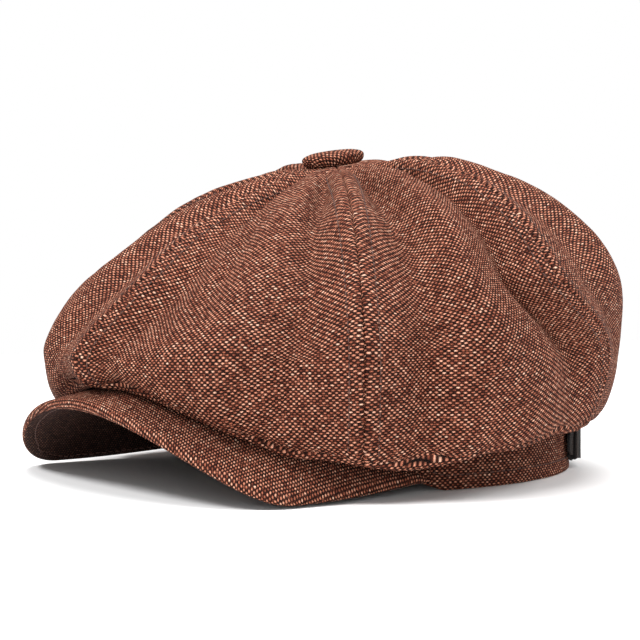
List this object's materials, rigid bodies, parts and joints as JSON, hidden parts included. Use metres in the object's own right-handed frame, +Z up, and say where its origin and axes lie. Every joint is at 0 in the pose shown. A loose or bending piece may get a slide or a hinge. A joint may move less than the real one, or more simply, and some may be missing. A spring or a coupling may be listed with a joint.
{
  "type": "newsboy cap",
  "caption": "Soft gathered cloth cap with a wide seamed crown over a low headband, a short arched visor, a covered top button, a lining and a strap that slides through a buckle at the back.",
  "frame": {"origin": "centre of the head opening on the plane the cap stands on", "axes": "+Z up through the crown, visor toward -Y, wearer's left toward +X"},
  "size_m": [0.25, 0.2583, 0.1422],
  "materials": {
    "woven_cloth": "coarse plain weave of brown and tan yarns, matte",
    "lining_cloth": "smooth satin weave",
    "sweatband_cloth": "fine cotton twill tape",
    "visor_stiffener": "plain moulded sheet",
    "button_metal": "stamped sheet",
    "webbing": "flat ribbed webbing",
    "buckle_plastic": "smooth moulded",
    "label_cloth": "plain woven tape, no text"
  },
  "bodies": {
    "cap": {"crown_panel_front_left": "woven_cloth", "crown_panel_left": "woven_cloth", "crown_panel_rear_left": "woven_cloth", "crown_panel_rear_right": "woven_cloth", "crown_panel_right": "woven_cloth", "crown_panel_front_right": "woven_cloth", "lining_panel_front_left": "lining_cloth", "lining_panel_left": "lining_cloth", "lining_panel_rear_left": "lining_cloth", "lining_panel_rear_right": "lining_cloth", "lining_panel_right": "lining_cloth", "lining_panel_front_right": "lining_cloth", "headband_front": "woven_cloth", "headband_rear_left": "woven_cloth", "headband_rear_right": "woven_cloth", "visor_bottom_cover": "woven_cloth", "visor_top_cover": "woven_cloth", "button_cover": "woven_cloth", "sweatband": "sweatband_cloth", "visor_board": "visor_stiffener", "button_shell": "button_metal", "button_shank": "button_metal", "button_stay": "lining_cloth", "strap_keeper": "webbing", "strap_pocket": "webbing", "slider_buckle": "buckle_plastic", "label": "label_cloth"},
    "strap": {"strap": "webbing"}
  },
  "joints": [
    {"name": "strap_slide", "type": "hinge", "parent": "cap", "child": "strap", "pos_m": [0, 0.0255, 0.0138], "axis": [0, 0, 1], "range_deg": [-9, 6]}
  ]
}
